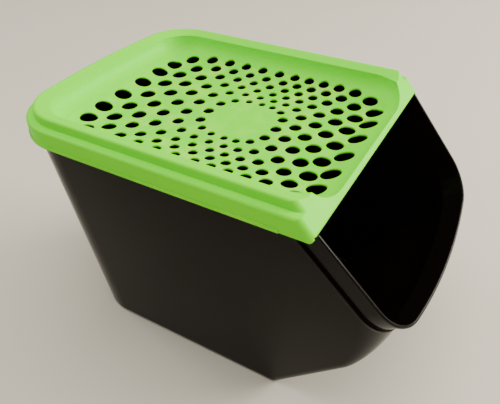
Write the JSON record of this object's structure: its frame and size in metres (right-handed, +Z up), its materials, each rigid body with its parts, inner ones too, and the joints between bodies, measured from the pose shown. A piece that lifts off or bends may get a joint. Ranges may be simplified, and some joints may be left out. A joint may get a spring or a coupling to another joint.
{
  "type": "open-front box with vented lid",
  "caption": "Small open-front tub with a slanted mouth, and a perforated lift-off lid that covers its top as a hood.",
  "frame": {"origin": "on the base plane, at the middle of the object's bounding box seen from above", "axes": "+Z up; the mouth faces -Y and the closed back wall is at +Y; +X is the right-hand side seen from behind the mouth looking in"},
  "size_m": [0.1912, 0.2875, 0.1884],
  "materials": {
    "tub_plastic": "near-black polypropylene, satin gloss outside",
    "lid_plastic": "lime green polypropylene, fine satin texture"
  },
  "bodies": {
    "tub": {"tub": "tub_plastic"},
    "lid": {"vented_lid": "lid_plastic"}
  },
  "joints": [
    {"name": "lid_lift", "type": "slide", "parent": "tub", "child": "lid", "axis": [0, 0, 1], "range_m": [0, 0.08]}
  ]
}
